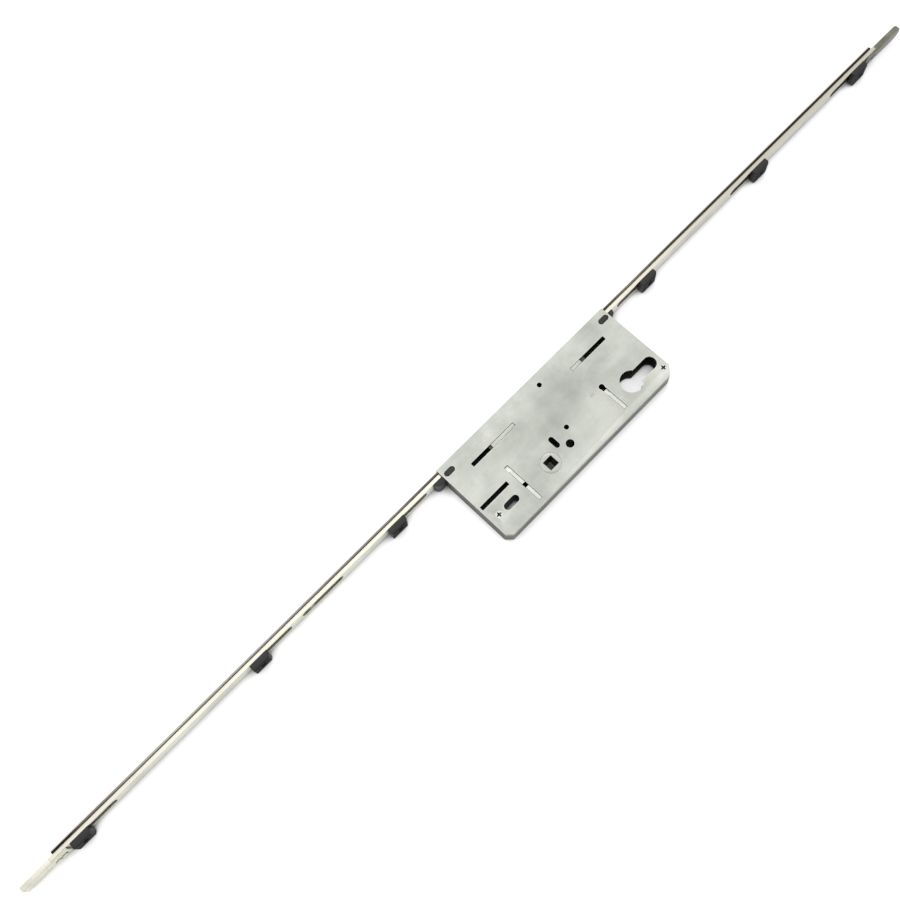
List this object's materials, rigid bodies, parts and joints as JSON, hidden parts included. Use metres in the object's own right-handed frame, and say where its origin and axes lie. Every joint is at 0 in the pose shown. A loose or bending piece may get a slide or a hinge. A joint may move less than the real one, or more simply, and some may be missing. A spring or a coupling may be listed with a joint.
{
  "type": "multipoint lock gearbox",
  "caption": "Door lock gearbox: a square handle spindle drives two geared rods apart behind a long slim faceplate, with a shootbolt at each end and an opening for a profile cylinder.",
  "frame": {"origin": "axis of the handle spindle, half way through the case's thickness", "axes": "+X along the faceplate from the handle end to the cylinder end, +Y out of the faceplate, +Z square to the case plates, towards the cover"},
  "size_m": [0.9056, 0.0719, 0.016],
  "materials": {
    "bolt_zinc": "cast zinc, plated",
    "cover_steel": "bright zinc plate",
    "case_steel": "bright zinc plate",
    "faceplate_steel": "silvered zinc plate",
    "screw_steel": "zinc plate",
    "gear_steel": "sintered steel",
    "lock_steel": "pressed steel, zinc plate",
    "black_nylon": "moulded, fine grain",
    "rod_steel": "pale zinc plate",
    "spring_steel": "drawn wire"
  },
  "bodies": {
    "case": {"case_tray": "case_steel", "case_cover": "cover_steel", "case_pillars": "screw_steel", "cover_screws": "screw_steel", "faceplate": "faceplate_steel", "faceplate_screws": "screw_steel", "top_end_guide": "black_nylon", "bottom_end_guide": "black_nylon", "pinion_post": "screw_steel", "spring_post": "screw_steel", "friction_pad": "black_nylon", "friction_spring": "spring_steel", "top_clip_1": "black_nylon", "top_clip_2": "black_nylon", "top_clip_3": "black_nylon", "bottom_clip_1": "black_nylon", "bottom_clip_2": "black_nylon", "bottom_clip_3": "black_nylon"},
    "bottom_rod": {"bottom_drive_rod": "rod_steel", "bottom_rack": "gear_steel", "bottom_shootbolt": "bolt_zinc", "bottom_shootbolt_rivets": "screw_steel"},
    "top_rod": {"top_drive_rod": "rod_steel", "top_rack": "gear_steel", "top_shootbolt": "bolt_zinc", "top_shootbolt_rivets": "screw_steel"},
    "spindle": {"spindle_follower": "gear_steel"},
    "pinion": {"reversing_pinion": "gear_steel"},
    "lock": {"lock_plate": "lock_steel"}
  },
  "joints": [
    {"name": "bottom_rod_slide", "type": "slide", "parent": "case", "child": "bottom_rod", "axis": [1, 0, 0], "range_m": [0, 0.01963]},
    {"name": "top_rod_slide", "type": "slide", "parent": "case", "child": "top_rod", "axis": [-1, 0, 0], "range_m": [0, 0.01964]},
    {"name": "spindle_turn", "type": "hinge", "parent": "case", "child": "spindle", "pos_m": [0, 0, 0], "axis": [0, 0, 1], "range_deg": [-45, 0]},
    {"name": "pinion_turn", "type": "hinge", "parent": "case", "child": "pinion", "pos_m": [0.028, 0.03875, 0], "axis": [0, 0, 1], "range_deg": [0, 180]},
    {"name": "lock_slide", "type": "slide", "parent": "case", "child": "lock", "axis": [0, 1, 0], "range_m": [0, 0.0025]}
  ],
  "couplings": [
    {"joint": "top_rod_slide", "follows": "bottom_rod_slide", "ratio": 1},
    {"joint": "spindle_turn", "follows": "bottom_rod_slide", "rad_per_m": -40},
    {"joint": "pinion_turn", "follows": "bottom_rod_slide", "rad_per_m": 160}
  ]
}
